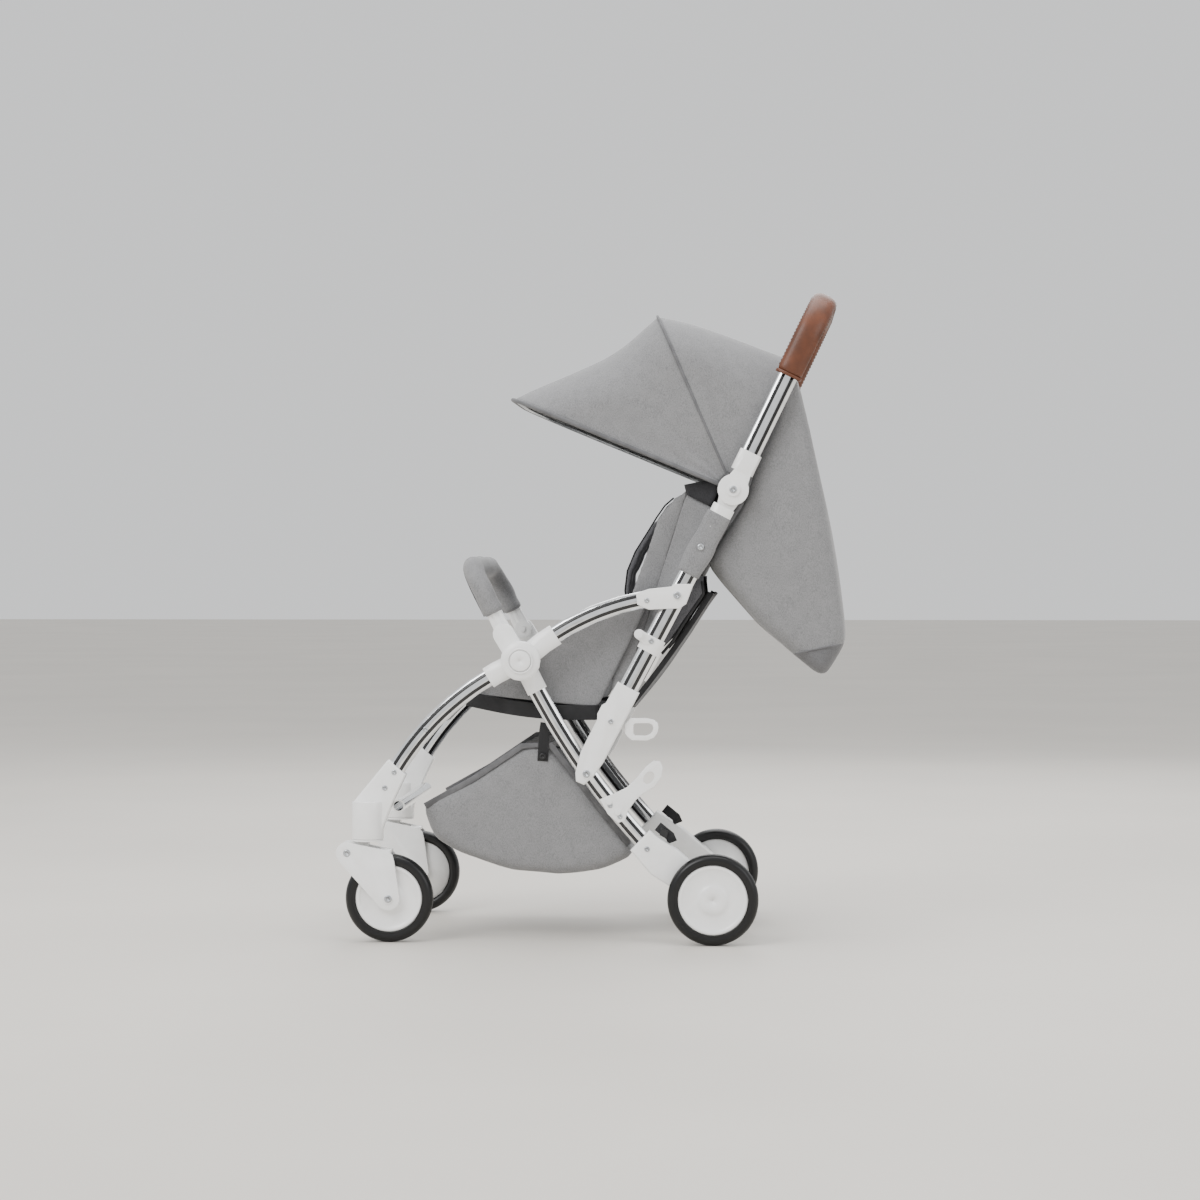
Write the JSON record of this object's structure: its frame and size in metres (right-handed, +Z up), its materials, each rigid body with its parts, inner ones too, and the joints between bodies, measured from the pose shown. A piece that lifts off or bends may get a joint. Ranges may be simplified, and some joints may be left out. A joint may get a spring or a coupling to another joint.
{
  "type": "baby stroller",
  "caption": "Compact folding baby stroller: oval-tube frame, swivelling sprung front wheels, reclining padded seat, bumper bar, folding canopy, hood, basket and leather-wrapped handle.",
  "frame": {"origin": "On the ground under the middle of the stroller's bounding box", "axes": "+Z up, -X towards the front (the way the child faces), -Y the stroller's left side"},
  "size_m": [0.8244, 0.468, 1.049],
  "materials": {
    "alloy": "polished oval tube",
    "white_plastic": "glossy moulded",
    "black_plastic": "satin moulded",
    "tyre": "smooth tread",
    "steel": "brushed",
    "grey_cloth": "heathered woven",
    "dark_cloth": "heathered woven",
    "black_cloth": "black woven",
    "leather": "stitched leather"
  },
  "bodies": {
    "rear_frame": {"rear_leg_left": "alloy", "rear_leg_right": "alloy", "leg_socket_left": "white_plastic", "leg_socket_right": "white_plastic", "rear_housing_left": "white_plastic", "rear_housing_right": "white_plastic", "rear_axle": "steel", "fold_hook": "white_plastic", "basket": "grey_cloth"},
    "front_frame": {"front_leg_left": "alloy", "front_leg_right": "alloy", "armrest_tube_left": "alloy", "armrest_tube_right": "alloy", "hub_left": "white_plastic", "hub_right": "white_plastic", "armrest_elbow_left": "white_plastic", "armrest_elbow_right": "white_plastic", "caster_bracket_left": "white_plastic", "caster_bracket_right": "white_plastic", "front_cross_tube": "alloy", "seat_shell": "black_cloth", "seat_cushion": "grey_cloth", "calf_rest": "grey_cloth", "harness_buckle": "black_plastic"},
    "back_frame": {"back_tube_left": "alloy", "back_tube_right": "alloy", "hinge_socket_left": "white_plastic", "hinge_socket_right": "white_plastic", "lock_stud": "white_plastic", "rear_hood": "grey_cloth", "rear_sling": "dark_cloth", "canopy_rear_panel": "grey_cloth"},
    "sleeves": {"slide_sleeve_left": "white_plastic", "slide_sleeve_right": "white_plastic"},
    "lock_loop": {"release_loop": "white_plastic"},
    "handle": {"handle_bar": "alloy", "hand_grip": "leather", "handle_socket_left": "white_plastic", "handle_socket_right": "white_plastic"},
    "canopy_middle": {"canopy_rib_middle": "steel", "canopy_front_panel": "grey_cloth"},
    "canopy_front": {"canopy_rib_front": "steel"},
    "seat_back": {"backrest_board": "grey_cloth", "backrest_pad": "grey_cloth", "harness_pads": "dark_cloth"},
    "bumper": {"bumper_bar": "white_plastic", "bumper_cover": "grey_cloth"},
    "brake": {"brake_pedal": "black_plastic"},
    "caster_left": {"caster_swivel_left": "white_plastic"},
    "fork_left": {"caster_fork_left": "white_plastic"},
    "front_wheel_left": {"front_tyre_left": "tyre", "front_wheel_disc_left": "white_plastic"},
    "rear_wheel_left": {"rear_tyre_left": "tyre", "rear_wheel_disc_left": "white_plastic"},
    "caster_right": {"caster_swivel_right": "white_plastic"},
    "fork_right": {"caster_fork_right": "white_plastic"},
    "front_wheel_right": {"front_tyre_right": "tyre", "front_wheel_disc_right": "white_plastic"},
    "rear_wheel_right": {"rear_tyre_right": "tyre", "rear_wheel_disc_right": "white_plastic"}
  },
  "joints": [
    {"name": "frame_fold", "type": "hinge", "parent": "rear_frame", "child": "front_frame", "pos_m": [-0.115, 0, 0.454], "axis": [0, -1, 0], "range_deg": [0, 46], "deforming": ["basket"]},
    {"name": "back_fold", "type": "hinge", "parent": "front_frame", "child": "back_frame", "pos_m": [0.13663, 0, 0.55943], "axis": [0, 1, 0], "range_deg": [0, 17.91], "deforming": ["rear_sling"]},
    {"name": "sleeve_slide", "type": "slide", "parent": "back_frame", "child": "sleeves", "axis": [-0.4673, 0, -0.8841], "range_m": [0, 0.11408]},
    {"name": "lock_loop_pull", "type": "hinge", "parent": "sleeves", "child": "lock_loop", "pos_m": [0.05787, -0.195, 0.34518], "axis": [0, -1, 0], "range_deg": [0, 12], "stiffness_Nm_per_rad": 0.4, "springref_deg": -5.73},
    {"name": "handle_fold", "type": "hinge", "parent": "back_frame", "child": "handle", "pos_m": [0.226, 0, 0.7285], "axis": [0, 1, 0], "range_deg": [0, 110]},
    {"name": "canopy_fold", "type": "hinge", "parent": "back_frame", "child": "canopy_middle", "pos_m": [0.226, 0, 0.7285], "axis": [0, 1, 0], "range_deg": [0, 43], "deforming": ["canopy_rear_panel"]},
    {"name": "canopy_front_fold", "type": "hinge", "parent": "canopy_middle", "child": "canopy_front", "pos_m": [0.226, 0, 0.7285], "axis": [0, 1, 0], "range_deg": [0, 39.5], "deforming": ["canopy_front_panel"]},
    {"name": "seat_recline", "type": "hinge", "parent": "back_frame", "child": "seat_back", "pos_m": [0.03867, 0, 0.37985], "axis": [0, 1, 0], "range_deg": [0, 13]},
    {"name": "bumper_swing", "type": "hinge", "parent": "front_frame", "child": "bumper", "pos_m": [-0.143, 0, 0.497], "axis": [0, -1, 0], "range_deg": [0, 60]},
    {"name": "brake_press", "type": "hinge", "parent": "rear_frame", "child": "brake", "pos_m": [0.194, 0, 0.073], "axis": [0, 1, 0], "range_deg": [0, 20]},
    {"name": "caster_turn_left", "type": "hinge", "parent": "front_frame", "child": "caster_left", "pos_m": [-0.363, -0.202, 0.166], "axis": [0, 0, 1], "continuous": true},
    {"name": "suspension_left", "type": "hinge", "parent": "caster_left", "child": "fork_left", "pos_m": [-0.394, -0.202, 0.144], "axis": [0, -1, 0], "range_deg": [0, 5], "stiffness_Nm_per_rad": 25, "springref_deg": -9.17},
    {"name": "front_wheel_spin_left", "type": "hinge", "parent": "fork_left", "child": "front_wheel_left", "pos_m": [-0.328, -0.202, 0.071], "axis": [0, 1, 0], "continuous": true},
    {"name": "rear_wheel_spin_left", "type": "hinge", "parent": "rear_frame", "child": "rear_wheel_left", "pos_m": [0.194, -0.22, 0.073], "axis": [0, 1, 0], "continuous": true},
    {"name": "caster_turn_right", "type": "hinge", "parent": "front_frame", "child": "caster_right", "pos_m": [-0.363, 0.202, 0.166], "axis": [0, 0, 1], "continuous": true},
    {"name": "suspension_right", "type": "hinge", "parent": "caster_right", "child": "fork_right", "pos_m": [-0.394, 0.202, 0.144], "axis": [0, -1, 0], "range_deg": [0, 5], "stiffness_Nm_per_rad": 25, "springref_deg": -9.17},
    {"name": "front_wheel_spin_right", "type": "hinge", "parent": "fork_right", "child": "front_wheel_right", "pos_m": [-0.328, 0.202, 0.071], "axis": [0, 1, 0], "continuous": true},
    {"name": "rear_wheel_spin_right", "type": "hinge", "parent": "rear_frame", "child": "rear_wheel_right", "pos_m": [0.194, 0.22, 0.073], "axis": [0, 1, 0], "continuous": true}
  ],
  "couplings": [
    {"joint": "back_fold", "follows": "frame_fold", "ratio": 0.38903},
    {"joint": "sleeve_slide", "follows": "frame_fold", "m_per_rad": 0.14207},
    {"joint": "canopy_front_fold", "follows": "canopy_fold", "ratio": 0.91628}
  ]
}
